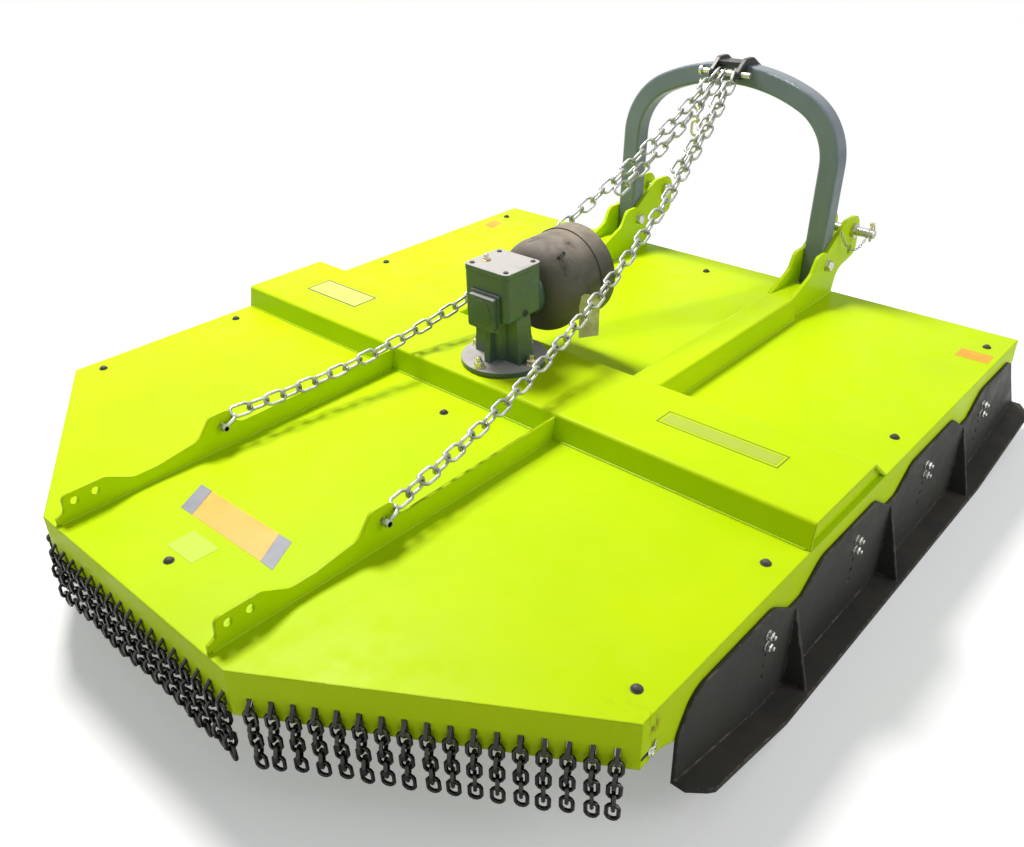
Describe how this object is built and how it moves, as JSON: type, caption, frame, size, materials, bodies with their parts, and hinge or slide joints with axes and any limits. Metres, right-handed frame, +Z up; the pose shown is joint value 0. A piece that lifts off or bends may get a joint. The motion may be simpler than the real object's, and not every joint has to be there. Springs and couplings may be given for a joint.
{
  "type": "tractor brush cutter",
  "caption": "Linkage-mounted rotary brush cutter with a tapered-rear deck, chain curtains, side skids, bent-tube mast, chain stays and a gearbox that drives two swinging blades.",
  "frame": {"origin": "on the ground, under the middle of the machine's bounding box", "axes": "+Y forward, towards the tractor; +X to the machine's right; +Z up"},
  "size_m": [2.036, 2.352, 0.983],
  "materials": {
    "deck_paint": "lime paint, scratched and dusty",
    "mast_paint": "grey-green paint, worn",
    "black_paint": "black paint, chipped",
    "gearbox_paint": "dark green paint over casting, dusty",
    "shield_plastic": "grey moulded plastic, dusty",
    "bright_pin": "bright zinc plated",
    "machined": "machined and oiled",
    "skid_steel": "black paint worn to steel",
    "curtain_steel": "black chain, oily",
    "galvanised": "galvanised, dull",
    "blade_steel": "forged spring steel, dark"
  },
  "bodies": {
    "frame": {"deck_shell": "deck_paint", "cross_beam": "deck_paint", "rear_rib_right": "deck_paint", "rear_rib_left": "deck_paint", "front_beam_right": "deck_paint", "front_beam_left": "deck_paint", "hitch_plate_inner_right": "deck_paint", "hitch_plate_inner_left": "deck_paint", "hitch_plate_outer_right": "deck_paint", "hitch_plate_outer_left": "deck_paint", "lower_link_pin_right": "bright_pin", "lower_link_pin_left": "bright_pin", "mast_arch": "mast_paint", "top_link_clevis": "black_paint", "stay_pin": "bright_pin", "gearbox_housing": "gearbox_paint", "gearbox_cover": "gearbox_paint", "gearbox_end_cap": "gearbox_paint", "input_neck": "gearbox_paint", "pto_shield": "shield_plastic", "skid_right": "skid_steel", "skid_left": "skid_steel", "curtain_rear": "curtain_steel", "curtain_rear_right": "curtain_steel", "curtain_rear_left": "curtain_steel", "curtain_front": "curtain_steel", "stay_chain_right": "galvanised", "stay_chain_left": "galvanised", "lug_shackle_right": "galvanised", "lug_shackle_left": "galvanised"},
    "rotor": {"output_shaft": "machined", "rotor_hub": "machined", "blade_carrier": "blade_steel", "stump_dish": "blade_steel", "blade_bolt_right": "machined", "blade_bolt_left": "machined"},
    "blade_right": {"blade_right": "blade_steel"},
    "blade_left": {"blade_left": "blade_steel"},
    "input": {"input_shaft": "machined"}
  },
  "joints": [
    {"name": "rotor_spin", "type": "hinge", "parent": "frame", "child": "rotor", "pos_m": [0, -0.057, 0.155], "axis": [0, 0, 1], "continuous": true},
    {"name": "blade_right_swing", "type": "hinge", "parent": "rotor", "child": "blade_right", "pos_m": [0.51, -0.057, 0.114], "axis": [0, 0, 1], "continuous": true},
    {"name": "blade_left_swing", "type": "hinge", "parent": "rotor", "child": "blade_left", "pos_m": [-0.51, -0.057, 0.114], "axis": [0, 0, 1], "continuous": true},
    {"name": "input_spin", "type": "hinge", "parent": "frame", "child": "input", "pos_m": [0, 0.052, 0.537], "axis": [0, 1, 0], "continuous": true}
  ],
  "couplings": [
    {"joint": "input_spin", "follows": "rotor_spin", "ratio": 0.68182}
  ]
}
